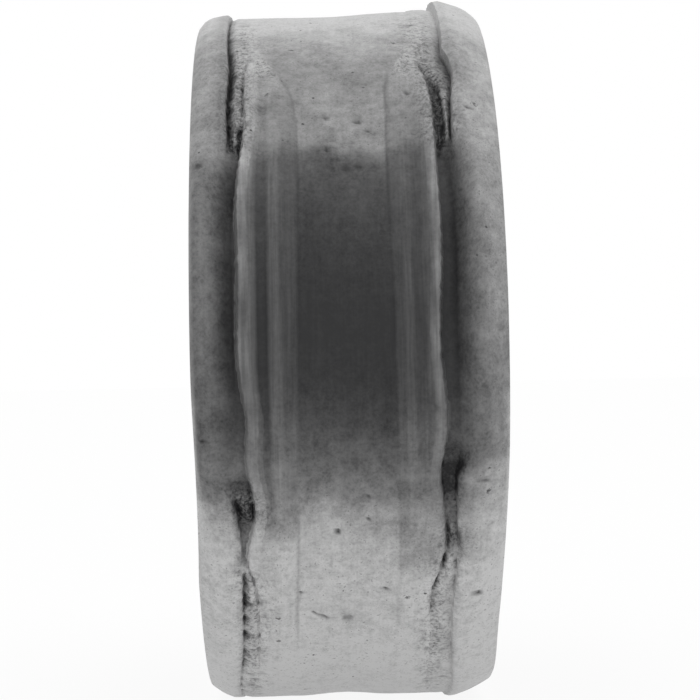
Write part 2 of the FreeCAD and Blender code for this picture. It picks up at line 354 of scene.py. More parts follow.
def bareRing():
    # a rectangle is cut into the loops that the section needs, and spun around the bore
    f = ringForm
    edgeCuts = sectionCuts()
    middle = (f["outerRadius"] + f["boreRadius"]) / 2
    clearSelection()
    bpy.ops.mesh.primitive_plane_add(size=1, location=(0, 0, middle * mm), rotation=(math.pi / 2, 0, 0))
    section = bpy.context.object
    section.name = "moulded_ring"
    section.scale = (2 * f["halfWidth"] * mm, (f["outerRadius"] - f["boreRadius"]) * mm, 1)
    bpy.ops.object.transform_apply(location=True, rotation=True, scale=True)
    bpy.ops.object.mode_set(mode="EDIT")
    bpy.ops.mesh.delete(type="ONLY_FACE")
    for name, cuts in edgeCuts.items():
        bpy.ops.mesh.select_all(action="DESELECT")
        bpy.ops.object.mode_set(mode="OBJECT")
        for edge in section.data.edges:
            a, b = (section.data.vertices[i].co for i in edge.vertices)
            centre = (a + b) / 2
            outer = abs(centre.z - f["outerRadius"] * mm) < 1e-6
            inner = abs(centre.z - f["boreRadius"] * mm) < 1e-6
            flank = abs(a.x - b.x) < 1e-6
            edge.select = {"outer": outer, "bore": inner, "flanks": flank}[name]
        bpy.ops.object.mode_set(mode="EDIT")
        bpy.ops.mesh.select_mode(type="EDGE")
        bpy.ops.mesh.subdivide(number_cuts=min(cuts - 1, f["mostCuts"]))
    bpy.ops.mesh.select_mode(type="VERT")
    bpy.ops.mesh.select_all(action="SELECT")
    bpy.ops.mesh.spin(steps=f["sections"], angle=2 * math.pi, center=(0, 0, 0), axis=(1, 0, 0))
    bpy.ops.mesh.select_all(action="SELECT")
    bpy.ops.mesh.remove_doubles(threshold=0.002 * mm)
    bpy.ops.mesh.normals_make_consistent(inside=False)
    bpy.ops.object.mode_set(mode="OBJECT")
    print("bare ring spun:", len(section.data.vertices), "vertices")
    return section


def loopOf(name):
    # the loop that lies on one of a section's lines, counted from the side face
    names = list(railCuts)
    return sum(railCuts[before] for before in names[:names.index(name)])


def sectionCuts():
    f = ringForm
    return {"outer": 2 * loopOf("padEdge") + f["bandCuts"], "flanks": f["flankCuts"],
            "bore": len(f["boreLoops"]) - 1}


def uneven(name, edge, state):
    more, size, fewest, most = unevenness[name]
    return wobble(state["degrees"], edge["seed"] + more, size, fewest, most)


def drumRadius(edge, degrees):
    # the drum isn't quite round: it sits a little low in the ring
    middle, slant = edge["drum"]
    return middle - slant * np.sin(np.radians(degrees)) + wobble(degrees, *ringForm["drumWaves"])


def edgeState(edge, degrees):
    # how high each section stands, and how much of its groove is torn open or cracked
    frontal = np.abs(degrees) <= 90
    height = np.where(frontal, degrees, np.sign(degrees) * (180 - np.abs(degrees)))
    away = np.abs(height)
    place, reach = edge["tear"]
    torn = np.where(frontal, bell(height, place, reach, 6), 0)
    low, high = edge["tongue"]
    tongue = np.where(frontal, np.maximum(rise(-height, *low), rise(height, *high)),
                      rise(away, *grooveForm["backTongue"]))
    whole = (1 - tongue) * (1 - torn)
    place, reach, most = edge["island"]
    tongue = np.maximum(tongue, np.where(frontal, most * bell(height, place, reach, 4), 0))
    return {"degrees": degrees, "height": height, "away": away, "frontal": frontal, "torn": torn,
            "tongue": tongue, "whole": whole, "drum": drumRadius(edge, degrees)}


def edgeLines(edge, state):
    # the lines of the collar's foot, the flash, the pad and the side face, without the tears at the back
    lines = {}
    for name, calm in edge["backLines"].items():
        points = edge[name]
        reach = grooveForm["backCalm"]
        backPoints = [(-90, points[0][1]), (-reach, calm), (0, calm), (reach, calm), (90, points[-1][1])]
        lines[name] = np.where(state["frontal"], smoothLine(points, state["height"]),
                               smoothLine(backPoints, state["height"]))
    for name in ("collarLine", "flashLine", "padLine"):
        lines[name] = lines[name] + uneven(name, edge, state)
    lines["flashLine"] = lines["flashLine"] + np.where(state["frontal"], 0, uneven("backFlash", edge, state))
    lines["faceLine"] = np.minimum(lines["faceLine"], ringForm["halfWidth"] - ringForm["inside"])
    return lines


def collarRails(edge, state, lines):
    # side face, bevel and crest, which change from the bottom to the top of the ring
    f = ringForm
    upwards = np.sin(np.radians(state["degrees"]))

    def lowToHigh(name):
        low, high = edge[name]
        return low + (high - low) * (1 + upwards) / 2

    face = lines["faceLine"]
    crest = lines["collarLine"] + f["collarWall"] + edge["lean"][1] * state["whole"]
    bevelWidth = np.minimum(lowToHigh("bevelWidth"), face - crest - f["leastCrest"])
    middle, slant, bend = edge["crest"]
    crestRadius = middle - slant * upwards - bend * upwards ** 2 - uneven("crest", edge, state)
    rails = {
        "face": (face, crestRadius - lowToHigh("bevelDrop")),
        "bevelTop": (face - bevelWidth, crestRadius - lowToHigh("lip")),
        "crest": (crest, crestRadius),
    }
    return rails, lowToHigh("bevelRound")


def grooveRails(edge, state, lines):
    # the groove's walls and floor, or the strip between its two cracks
    g = grooveForm
    height, away, frontal = state["height"], state["away"], state["frontal"]
    tongue, whole, drum = state["tongue"], state["whole"], state["drum"]
    collar, flash = lines["collarLine"], lines["flashLine"]
    width = collar - flash
    leastCrack, leastStrip, leastGroove = g["least"]
    besideCollar = drum + part(height, edge["lift"])
    floor = np.where(frontal, smoothLine(edge["floor"], height), straightLine(g["backFloor"], away))
    floor = np.clip(floor * (1 + uneven("grooveDepth", edge, state)), 0, g["deepest"])
    crackWaves = 1 + uneven("crackDepth", edge, state) * np.where(height > 0, g["upperCalm"], 1)

    def depthOf(name):
        crack = np.where(frontal, straightLine(edge[name], height), straightLine(g["backCrack"], away))
        return (1 - tongue) * floor + tongue * np.clip(crack * crackWaves, 0, g["deepestCrack"])

    def widthOf(name):
        crack = np.where(frontal, straightLine(edge[name], height), g["backGap"])
        return (1 - tongue) * g["floorEdge"] * width + tongue * crack

    outerDepth = np.maximum(depthOf("outerCrack"), g["leastCrease"])
    innerDepth = depthOf("innerCrack")
    stripDepth = (1 - tongue) * floor + tongue * np.minimum(g["stripDepth"], floor + g["leastStep"])
    outerGap = np.clip(widthOf("outerGap"), leastCrack, width * g["widestCrack"])
    innerGap = np.clip(widthOf("innerGap"), leastCrack, width - outerGap - leastStrip)
    innerGap = innerGap * (1 - g["steeper"] * whole)
    foot = np.maximum(collar - edge["lean"][0] * whole, flash + leastGroove)
    floorStart = np.minimum(collar - outerGap, foot - ringForm["collarWall"])
    wallShare, leastWall = g["innerWall"]
    return {
        "foot": (foot, besideCollar - outerDepth),
        "floorOuter": (floorStart, besideCollar - stripDepth),
        "floorInner": (flash + innerGap, besideCollar - stripDepth),
        "crackOuter": (flash + innerGap * wallShare, drum - innerDepth),
        "crackInner": (flash + leastWall, drum - innerDepth),
    }


def padRise(state):
    # a pad's height as a share of its full one, soft at its ends
    f = ringForm
    low, high = f["padEnd"]
    before, after = f["padSlope"]
    rising = 1 - rise(state["height"], high - before, high + after)
    rising = rising * (1 - rise(-state["height"], low - before, low + after))
    return rising * (1 - part(state["away"], f["padFall"]))


def flashRails(edge, state, lines):
    # the thin flash along the groove, which runs out up and down the front
    f = ringForm
    flash, drum = lines["flashLine"], state["drum"]
    even, innerShare = f["flashTop"]
    kept = 1 - sum(part(upOrDown * state["height"], span) for upOrDown, span in f["flashFades"])
    raised = edge["flashHeight"] * kept * (even + uneven("flashHeight", edge, state))
    raised = np.clip(raised, 0, f["outerRadius"] - 3 * f["inside"] - drum)
    topStart, topEnd, flashFoot = edge["flash"]
    shoulderHeight = edge["across"]["shoulder"][1] * padRise(state)
    return {
        "flashOuter": (flash - topStart, drum + raised),
        "flashInner": (flash - topEnd, drum + raised * innerShare),
        "flashFoot": (flash - flashFoot, drum + np.minimum(shoulderHeight, raised + grooveForm["leastStep"])),
    }


def padRails(edge, state, lines):
    # the strips across a raised pad, closer together where it is narrow
    f = ringForm
    drum, rising = state["drum"], padRise(state)
    wallStart, wallEnd = f["padEdge"]
    outer = lines["flashLine"] - edge["flash"][2]
    inner = lines["padLine"] + wallStart
    room = f["leastStrip"] * (outer - inner)
    ledgeHeight = edge["across"]["ledge"][1]
    relief = 1 - part(-state["height"], f["reliefFade"])
    rails = {}
    for step, (name, (place, raised)) in enumerate(edge["across"].items()):
        nearest = inner + room * (len(edge["across"]) + 1 - step)
        farthest = outer - room * (step + 1)
        soft = ledgeHeight + (raised - ledgeHeight) * relief
        rails[name] = (np.minimum(np.maximum(place, nearest), farthest), drum + soft * rising)
    rails["ledgeEnd"] = (inner, drum + ledgeHeight * rising)
    rails["padEdge"] = (lines["padLine"] - wallEnd, drum)
    return rails


def edgeRails(edge, degrees):
    # the lines that one edge's section runs through, as distance from the middle and radius
    state = edgeState(edge, degrees)
    lines = edgeLines(edge, state)
    rails, bulge = collarRails(edge, state, lines)
    for maker in (grooveRails, flashRails, padRails):
        rails.update(maker(edge, state, lines))
    return {"rails": rails, "bulge": bulge, **state}


def halfSection(edge, fact):
    # distance from the middle and radius of one edge's loops, from the side face to the band
    rails, bulge = fact["rails"], fact["bulge"]
    names = list(railCuts)
    wide, high = [rails["face"][0]], [rails["face"][1]]
    for name, following in zip(names, names[1:]):
        (u0, r0), (u1, r1) = rails[name], rails[following]
        for step in range(1, railCuts[name] + 1):
            t = step / railCuts[name]
            u = u0 + (u1 - u0) * t
            r = r0 + (r1 - r0) * t
            if name == "face":      # the collar's bevel, between a straight slope and a quarter round
                quarter = math.radians(90 * t)
                u = (1 - bulge) * u + bulge * (u1 + (u0 - u1) * math.cos(quarter))
                r = (1 - bulge) * r + bulge * (r0 + (r1 - r0) * math.sin(quarter))
            wide.append(u)
            high.append(r)
    return edge["side"] * np.array(wide).T, np.array(high).T


def flankPoints(edge, fact):
    # down a side face, and over the bevel of the bore
    f = ringForm
    w, bore, bevel = f["halfWidth"], f["boreRadius"], f["boreBevel"]
    face, foot = fact["rails"]["face"]
    faceLow, one = bore + bevel, np.ones_like(face)
    outside, above = f["boreSteps"]
    flank = [(face, foot - below) for below in f["flankSteps"]]
    flank += [(face, (foot + faceLow) / 2), (w - 2 * f["inside"], faceLow + outside), (w, faceLow),
              (w - bevel / 2, bore + bevel / 2), (w - bevel + above, bore + above)]
    return [(edge["side"] * u * one, r * one) for u, r in flank]


def sectionPoints(degrees):
    # distance along the width and radius of every loop, for every section around the ring
    f = ringForm
    facts = {edge["side"]: edgeRails(edge, degrees) for edge in (leftEdge, rightEdge)}
    leftX, leftR = halfSection(leftEdge, facts[-1])
    rightX, rightR = halfSection(rightEdge, facts[1])
    t = np.linspace(0, 1, f["bandCuts"] + 1)[1:-1]
    bandX = leftX[:, -1:] + (rightX[:, -1:] - leftX[:, -1:]) * t
    bandR = leftR[:, -1:] + (rightR[:, -1:] - leftR[:, -1:]) * t
    upwards = np.sin(np.radians(degrees))[:, None]
    dipLow, dipHigh = f["bandDip"]
    dip = dipLow + (dipHigh - dipLow) * (1 + upwards) / 2
    bandR = bandR - dip * upwards ** 2 * np.sin(math.pi * t) ** 2
    across = np.concatenate([leftX, bandX, rightX[:, ::-1]], axis=1)
    radius = np.concatenate([leftR, bandR, rightR[:, ::-1]], axis=1)

    # the hard corners come off the outline, and most of all in the grooves where they are whole
    rounds, everywhere, inGroove = f["easing"]
    ease = np.ones_like(across) * everywhere
    bevelLoops, grooveLoops, loops = loopOf("bevelTop"), loopOf("floorInner"), across.shape[1]
    ease[:, bevelLoops:grooveLoops] += inGroove * facts[-1]["whole"][:, None]
    ease[:, loops - grooveLoops:loops - bevelLoops] += inGroove * facts[1]["whole"][:, None]
    for _ in range(rounds):
        for line in (across, radius):
            middle = (line[:, :-2] + line[:, 2:]) / 2
            line[:, 1:-1] += ease[:, 1:-1] * (middle - line[:, 1:-1]) / 2

    # side faces and bore
    one = np.ones_like(degrees)
    flat = f["halfWidth"] - f["boreBevel"]
    boreLine = [(place * flat * one, f["boreRadius"] * one) for place in f["boreLoops"]]
    rest = flankPoints(rightEdge, facts[1]) + boreLine + flankPoints(leftEdge, facts[-1])[::-1]
    restX = np.array([u for u, r in rest]).T
    restR = np.array([r for u, r in rest]).T
    return np.concatenate([across, restX], axis=1), np.concatenate([radius, restR], axis=1), facts


def shapeRing(ring):
    # every vertex is moved from the bare ring to its place in the moulded form
    f = ringForm
    mesh = ring.data
    cuts = sectionCuts()
    coordinates = np.empty(len(mesh.vertices) * 3)
    mesh.vertices.foreach_get("co", coordinates)
    x, y, z = (coordinates.reshape(-1, 3) / mm).T
    radius = np.hypot(y, z)
    turn = np.arctan2(z, -y)
    sectionIndex = np.rint((turn + math.pi) / (2 * math.pi) * f["sections"]).astype(int) % f["sections"]

    # loops are counted over the rim from left to right, down the right side face, back along the bore
    # and up the left side face
    near = 0.01
    rightwards = (x + f["halfWidth"]) / (2 * f["halfWidth"])
    down = np.rint((f["outerRadius"] - radius) / (f["outerRadius"] - f["boreRadius"]) * cuts["flanks"])
    boreStart = cuts["outer"] + cuts["flanks"]
    loop = np.where(x > f["halfWidth"] - near, cuts["outer"] + down,
                    boreStart + cuts["bore"] + cuts["flanks"] - down)
    alongBore = boreStart + np.rint((1 - rightwards) * cuts["bore"])
    loop = np.where(radius < f["boreRadius"] + near, alongBore, loop)
    loop = np.where(radius > f["outerRadius"] - near, np.rint(rightwards * cuts["outer"]), loop).astype(int)
    even = -math.pi + 2 * math.pi * np.arange(f["sections"]) / f["sections"]
    angle = even - f["frontDensity"] * np.sin(even)
    degrees = np.degrees(angle)
    across, out, facts = sectionPoints(degrees)
    print("section of", across.shape[1], "loops")
    marks = surfaceMarks(across, out, degrees, facts)
    newX = across[sectionIndex, loop]
    newR = out[sectionIndex, loop]
    newAngle = angle[sectionIndex]
    moved = np.stack([newX, -newR * np.cos(newAngle), newR * np.sin(newAngle)], axis=1) * mm
    mesh.vertices.foreach_set("co", moved.ravel())
    for name, values in marks.items():
        attribute = mesh.attributes.new(name, "FLOAT", "POINT")
        attribute.data.foreach_set("value", values[sectionIndex, loop].astype(np.float32))
    mesh.update()
    print("ring shaped")


# bloom, grime and wear on the ring, with painted light, shade and highlights among them
surfaceForm = {
    "lumps": 0.035,            # height of the soft unevenness of the surface
    "lumpSizes": [(2.6, 1.0), (1.17, 0.5)],      # mm across, and strength
    "crumbs": 0.13,            # height of the crumbly places
    "crumbSizes": [(0.75, 1.0), (0.375, 0.6)],
    "crumbShade": 0.9,         # painted shade: how much darker the hollows between crumbs are
    # share of bloom, from the bottom to the top of the front and of the back: partly grey dust bloom and
    # partly painted light, the dark front and the pale top and bottom standing in for light and reflections
    # from above and below
    "bloomAndPaintedLight": [(-90, 1.0), (-70, 1.0), (-57, 1.0), (-51, 0.96), (-44, 0.88), (-34, 0.87), (-29, 0.76),
              (-25, 0.6), (-21, 0.35), (-17, 0.2), (-13.5, 0.12), (-10, 0.06), (-6, 0.025), (0, 0.005),
              (10, 0.012), (17, 0.035), (23, 0.065), (27, 0.11), (29.8, 0.18), (31.8, 0.38), (34, 0.43),
              (47, 0.42), (54, 0.5), (60, 0.7), (68, 0.95), (90, 1.0)],
    "drift": [(0.8, 0.55, 0.4), (0.45, 1.7, 2.0)],    # waves in its edge: degrees, radians a mm, and phase
    # down and up the front: from, to, and how many degrees nearer to the middle it begins on the flash
    "flashBloom": ((0, 10, 1.0), (0, 10, 3.0)),
    "sideBloom": (0.12, 0.26, 0.2),    # in the bore, on the side faces, and what follows the rim's there
    "sideFrom": 20.0,          # radius where the side faces have all of theirs
    # the collars' own thin bloom, lower towards the groove partly as painted shade
    "collarSpread": 0.75,      # share of a collar's width over which it changes
    "collarSlope": (0.024, -13, 11),   # how much stronger it is with every degree up, between two heights
    "collarHidden": (0.1, 0.6),        # the rim's bloom, from and to, that takes its place
    "collarEdge": 1.3,         # degrees on each side of its lower end
    "collarThin": (5, 10, 0.4),        # down the front: from, to, and how much less of the rim's it has
    "collarFull": (0.5, 3, 0.12),      # below its lower end: from, to, and how much more there is
    "tearSide": (27, 36),      # down the front: where the marks beside the tears end
    "crackSide": 0.75,         # how much of the painted shade beside the crack ends there
    "rim": (0.4, 0.05, 0.4),   # painted highlight: a paler line along a side face's edge, from, to, and how much
    "rimSpan": ((3, 9), (24, 32)),     # down the front, where it begins and ends
    # the grooves
    "sunken": (0.1, 1.0, 0.45),        # depth from and to which dirt gathers, and how much less in a crack
    "dirt": (0.02, 0.55, 0.45),        # everywhere, more where damaged, and less of that where torn
    "swept": (0.4, 0.4, 0.25),         # bloom that is missing: everywhere, where damaged, less where torn
    "dust": 0.015,             # bloom on the deepest floor
    "torn": (0.35, 0.3, 0.25),         # bloom missing where torn, how blotchy it is, and how crumbly
    "worn": (0.13, 0.12, -52, 7),      # missing on the lower strip, and how much more about a height
    "crackShadeSpan": (0.4, 0.45),   # how far from the crest the painted shade beside the crack lies, and its reach
    "crumbSpan": (0.4, 1.3),   # the same for crumbs, from the flash
    "crumbEnd": (62, 86),
    # the flash and the pads
    "flashTones": (31, 0.25, 12, 90),  # how uneven its rubbed tone is: seed, size, fewest and most waves
    "flashCrest": (0.1, 0.4),  # height above the drum, from and to
    "flashDull": (3, 9, 0.35),         # down the front: from, to, and how much less it is rubbed
    "shoulderDull": (3, 12, 0.45),
    "rubbedHidden": (0.2, 0.6, 0.7),   # the rim's bloom, from and to, and how much of the rubbing and painted highlight it hides
    "padLess": 0.33,           # how much less bloom the pads have where it begins
    "padBare": (13, 20),       # degrees from the front where that starts
    "padFull": 7,              # degrees over which it ends
    "seamReach": 0.13,
    "seamSpan": ((14, 28), (44, 49)),  # degrees from the front, where the seam's dirt begins and ends
    "padEnd": (50.5, 3.8, 0.3),        # crumbly end of a pad: height, reach, and how much more bloom
    "padEndSides": (0.5, 0.8),         # it fades this far from the pad's inner edge and from the groove
    "flat": 0.05,              # a strip of the pad counts as at least this wide
    "border": 0.1,             # how far a mark reaches over the line where it ends
    "leastCrumbs": 0.03,       # crumbs that show no more
}


def edgeView(edge, fact, across, out, outer, level):
    # one edge's lines and state as columns, beside the distance, form and bloom of every loop
    view = SimpleNamespace(**{name: place[:, None] for name, (place, radius) in fact["rails"].items()})
    for name in ("degrees", "height", "away", "frontal", "torn", "tongue", "drum"):
        setattr(view, name, fact[name][:, None])
    view.u = across * edge["side"]
    view.raised = out - view.drum
    view.mine = (view.u > 0) & outer
    view.level = level
    return view


def collarMarks(edge, v, marks):
    # thin bloom that grows outwards, partly as painted shade beside the groove, painted shade beside the
    # crack, a painted highlight along the side face, and the rim's bloom above and below it
    s = surfaceForm
    down = -v.height
    least, most, kept = edge["collarBloomAndShade"]
    start = edge["collarStart"]
    stronger, lowest, highest = s["collarSlope"]
    # partly painted shade: the collar is darker towards the groove
    outwards = rise(v.u, v.foot, v.foot + s["collarSpread"] * (v.face - v.foot))
    grey = (least + (most - least) * outwards) * (1 + stronger * np.clip(v.height, lowest, highest))
    grey = grey * (1 - (1 - kept) * rise(v.level, *s["collarHidden"]))
    begins = rise(down, start - s["collarEdge"], start + s["collarEdge"])
    fullFrom, fullTo, more = s["collarFull"]
    fuller = more * rise(down, start + fullFrom, start + fullTo) * (1 - rise(down, *s["tearSide"]))
    crust = v.level * (1 - part(down, s["collarThin"]) * (1 - begins)) + fuller
    # painted shade beside the crack, where the collar's top faces inwards
    shade, reach = edge["inwardShade"]
    nearCrack = (1 - rise(v.u, v.crest, v.crest + reach)) * begins
    nearCrack = nearCrack * (1 - s["crackSide"] * rise(down, *s["tearSide"])) * v.frontal
    crust = crust * (1 - shade * nearCrack)
    # painted highlight along the edge of the side face
    rimFrom, rimTo, paler = s["rim"]
    rimStart, rimEnd = s["rimSpan"]
    rim = paler * rise(v.u, v.face - rimFrom, v.face - rimTo)
    rim = rim * rise(down, *rimStart) * (1 - rise(down, *rimEnd))
    marks["bloomAndPaintedLight"] = np.where(v.mine & (v.u > v.foot), crust + grey + rim, marks["bloomAndPaintedLight"])


def grooveMarks(edge, v, marks):
    # dirt and little bloom on the floor, crumbs where it is cracked, blotches where it is torn, and painted
    # shade on the collar beside an upper crack
    s = surfaceForm
    damaged = np.maximum(v.torn, v.tongue) * np.ones_like(v.u)
    shallow, deep, less = s["sunken"]
    sunken = rise(-v.raised, shallow, deep - less * damaged)
    inGroove = v.mine & (v.u <= v.crest + s["border"]) & (v.u >= v.crackInner - s["border"] / 2)
    everywhere, more, less = s["dirt"]
    dirt = sunken * (everywhere + (more - less * v.torn) * damaged)
    marks["grime"] = np.where(inGroove, dirt, marks["grime"])
    everywhere, more, less = s["swept"]
    swept = sunken * (everywhere + more * damaged - less * v.torn)
    bare, blotchy, crumbly = s["torn"]
    stripBare, bareMore, place, reach = s["worn"]
    worn = (stripBare + bareMore * bell(v.height, place, reach)) * v.tongue * (v.height < 0)
    floorBloom = (marks["bloomAndPaintedLight"] * (1 - swept) + s["dust"]) * (1 - bare * v.torn - worn)
    marks["bloomAndPaintedLight"] = np.where(inGroove, floorBloom, marks["bloomAndPaintedLight"])
    tear = inGroove * v.torn * v.frontal
    marks["blotches"] = np.maximum(marks["blotches"], blotchy * tear)
    # painted shade on the collar beside its upper crack, carried in the grime mark
    place, reach = s["crackShadeSpan"]
    crackShade = edge["crackShade"] * bell(v.u, v.crest + place, reach) * v.tongue * v.frontal * (v.height > 0)
    onCollar = v.mine & (v.u > v.crest - s["border"])
    marks["grime"] = np.where(onCollar, np.maximum(marks["grime"], crackShade), marks["grime"])
    place, reach = s["crumbSpan"]
    crumbs = v.mine * bell(v.u, v.crackInner + place, reach) * v.tongue * v.frontal
    crumbs = crumbs * (1 - rise(v.away, *s["crumbEnd"]))
    marks["crumbs"] = np.maximum.reduce([marks["crumbs"], crumbs, crumbly * tear])


def flashMarks(edge, v, marks, flashLevel):
    # the flash is rubbed grey along its top, partly as a painted highlight on its crest, and bloom reaches
    # further along it
    s, tones = surfaceForm, edge["tones"]
    onFlash = v.mine & (v.u < v.crackInner + s["border"]) & (v.u > v.flashFoot)
    # partly painted highlight: the flash is paler where it stands highest
    onTop = rise(v.raised, *s["flashCrest"])
    topTone = tones["flash"] * (1 + wobble(v.degrees, *s["flashTones"]))
    topTone = topTone * (1 - part(-v.height, s["flashDull"]))
    tone = tones["shoulder"] + (topTone - tones["shoulder"]) * onTop
    marks["rubbed"] = np.where(onFlash, tone, marks["rubbed"])
    marks["bloomAndPaintedLight"] = np.where(onFlash, v.level + (flashLevel - v.level) * onTop, marks["bloomAndPaintedLight"])
    return onFlash


def padMarks(edge, v, marks, onFlash):
    # strips rubbed to their own tones, partly as painted highlight on the raised ones, less bloom where it
    # begins, a dirty seam and crumbly ends
    s, tones = surfaceForm, edge["tones"]
    onPad = v.mine & (v.u <= v.flashFoot) & (v.u > v.padEdge)
    down, up = edge["padBloom"]
    bare = rise(v.away, *s["padBare"]) * (1 - rise(v.height, up, up + s["padFull"]))
    bare = bare * (1 - rise(-v.height, down, down + s["padFull"]))
    bareLow, bareHigh = edge["bareFlash"]
    bare = bare * np.where(onPad, 1.0, np.where(v.height > 0, bareHigh, bareLow))
    marks["bloomAndPaintedLight"] = np.where(onPad | onFlash, marks["bloomAndPaintedLight"] * (1 - s["padLess"] * bare), marks["bloomAndPaintedLight"])

    strips = [(v.flashFoot, "shoulder"), (v.shoulder, "shoulder"), (v.valleyOuter, "valley"),
              (v.valleyInner, "valley"), (v.rib, "rib"), (v.ledge, "ledge"), (v.ledgeEnd, "ledge")]
    tone = np.zeros_like(v.u)
    for (outer, outerName), (inner, innerName) in zip(strips, strips[1:]):
        t = np.clip((outer - v.u) / np.maximum(outer - inner, s["flat"]), 0, 1)
        here = tones[outerName] + (tones[innerName] - tones[outerName]) * t
        tone = np.where((v.u <= outer) & (v.u > inner), here, tone)
    tone = tone * (1 - part(-v.height, s["shoulderDull"]) * (v.u > v.shoulder))
    hidden = v.mine * part(v.level, s["rubbedHidden"])
    marks["rubbed"] = np.where(onPad, tone, marks["rubbed"]) * (1 - hidden)

    seamLow, seamHigh = edge["padSeam"]
    seamStart, seamEnd = s["seamSpan"]
    seam = bell(v.u, v.padEdge, s["seamReach"]) * rise(v.away, *seamStart) * (1 - rise(v.away, *seamEnd))
    seam = seam * np.where(v.height > 0, seamHigh, seamLow)
    marks["grime"] = np.where(v.mine, np.maximum(marks["grime"], seam), marks["grime"])
    place, reach, more = s["padEnd"]
    fromPadEdge, fromGroove = s["padEndSides"]
    padEnd = v.mine * v.frontal * bell(v.height, place, reach)
    padEnd = padEnd * rise(v.u, v.padEdge, v.padEdge + fromPadEdge)
    padEnd = padEnd * (1 - rise(v.u, v.crackInner - fromGroove, v.crackInner))
    marks["crumbs"] = np.maximum(marks["crumbs"], padEnd)
    marks["bloomAndPaintedLight"] = marks["bloomAndPaintedLight"] + more * padEnd


def roughen(across, out, degrees, marks):
    # lumps, crumbs and pits go into the form; pits also darken the grime mark, and the hollows between crumbs
    # get painted shade in it
    s, radius = surfaceForm, ringForm["outerRadius"]
    outerLoops = sectionCuts()["outer"] + 1
    angle = np.radians(degrees)
    lumps = np.zeros_like(out)
    crumbs = np.zeros_like(out)
    for i in range(len(degrees)):
        cosine, sine = math.cos(angle[i]), math.sin(angle[i])
        for j in range(outerLoops):
            place = Vector((across[i, j], -out[i, j] * cosine, out[i, j] * sine))
            lumps[i, j] = sum(strength * noise.noise(place / size) for size, strength in s["lumpSizes"])
            if marks["crumbs"][i, j] > s["leastCrumbs"]:
                crumbs[i, j] = sum(strength * noise.noise(place / size) for size, strength in s["crumbSizes"])
    crumbs = crumbs * marks["crumbs"]
    out += s["lumps"] * lumps + s["crumbs"] * crumbs
    marks["bloomAndPaintedLight"] = marks["bloomAndPaintedLight"] + marks.pop("blotches") * lumps
    arc = radius * angle[:, None]
    for x, place, size, depth in pits:
        distance = ((across - x) ** 2 + (arc - radius * math.radians(place)) ** 2) / size ** 2
        distance[:, outerLoops:] = np.inf
        out -= depth * np.exp(-distance)
        marks["grime"] = np.maximum(marks["grime"], np.exp(-distance ** 2))
    out[:, :outerLoops] = np.minimum(out[:, :outerLoops], radius - ringForm["inside"])
    # painted shade in the hollows between crumbs, and less dark on their tops
    marks["grime"] = marks["grime"] - s["crumbShade"] * crumbs


def surfaceMarks(across, out, degrees, facts):
    # four marks say where bloom and painted light, dirt and painted shade, rubbed places and painted
    # highlights, and crumbs lie, and the form is made rough
    s = surfaceForm
    outer = np.arange(across.shape[1])[None, :] <= sectionCuts()["outer"]
    height = facts[-1]["height"][:, None]
    drift = sum(size * np.sin(waves * across + phase) for size, waves, phase in s["drift"])
    # the bloom share is partly painted light: darker at the front, paler at the top and bottom
    level = smoothLine(s["bloomAndPaintedLight"], np.clip(height + drift, -90, 90))
    low, high = s["flashBloom"]
    shifted = height + drift + part(height, high) - part(-height, low)
    flashLevel = smoothLine(s["bloomAndPaintedLight"], np.clip(shifted, -90, 90))
    inBore, onFace, following = s["sideBloom"]
    plain = inBore + (onFace + following * level - inBore) * rise(out, ringForm["boreRadius"], s["sideFrom"])
    marks = {name: np.zeros_like(out) for name in ("bloomAndPaintedLight", "grime", "rubbed", "crumbs", "blotches")}
    marks["bloomAndPaintedLight"] = np.where(outer, level, plain)
    for edge in (leftEdge, rightEdge):
        view = edgeView(edge, facts[edge["side"]], across, out, outer, level)
        collarMarks(edge, view, marks)
        grooveMarks(edge, view, marks)
        onFlash = flashMarks(edge, view, marks, flashLevel)
        padMarks(edge, view, marks, onFlash)
    roughen(across, out, degrees, marks)
    return {name: np.clip(values, 0, 1) for name, values in marks.items()}


# rubber
rubberLook = {
    "clean": "#232324",       # carbon black rubber as it leaves the mould
    "bloomed": "#bebebe",     # the same under grey bloom and dust
    # dark of the grime, and of the painted shade beside the cracks and in the crumbs' hollows
    "grime": "#1c1c1d",
    # patterns of the bloom, largest first: mm across, detail, roughness, stretch along X, Y and Z,
    # and how strongly each shows everywhere, in bloom, at its edge, where rubbed and highlit and where
    # crumbly
    "patterns": {
        "patches": (2.6, 3, 0.55, (1, 1, 1), (0.0, 0.4, 0.42, 0.0, 0.0)),
        "mottle": (0.8, 4, 0.65, (1, 1, 1), (0.03, 0.7, 0.15, 0.25, 0.3)),
        "grit": (0.28, 2, 0.6, (1, 1, 1), (0.02, 0.7, 0.15, 0.25, 1.4)),    # drawn coarser than the real dust
        "streaks": (0.3, 2, 0.6, (1, 0.05, 0.05), (0.02, 0.2, 0.0, 1.6, 0.0)),
        "wipes": (0.35, 2, 0.6, (0.06, 1, 1), (0.01, 0.15, 0.0, 0.0, 0.0)),
    },
    "specks": [(2.3, 0.19, 0.12), (0.9, 0.24, 0.1)],     # mm between dark specks, radius, share that is there
    "speckEdge": 0.06,              # share of that spacing over which a speck fades out
    "speckRagged": 0.3,
    "speckDirt": 0.75,
    "spots": (0.6, 0.72, 0.5),      # where the grit's pattern turns dark, and how dark
    "dusty": (0.05, 0.4),           # bloom from and to which specks show
    "unevenDirt": (0.3, 0.6, 0.45),    # of the mottle, from and to, and the least share of dirt
    "roughness": (0.42, 0.65),      # bare and fully bloomed
    "dustHeight": (0.06, 0.6),      # relief of the dust, bare and how much more in bloom
    "speckDepth": 0.5,
    "bump": {"Strength": 0.6, "Distance": 0.15 * mm},
    "shine": {"IOR": 1.5, "Specular IOR Level": 0.2, "Sheen Weight": 0.1, "Sheen Roughness": 0.25},
}


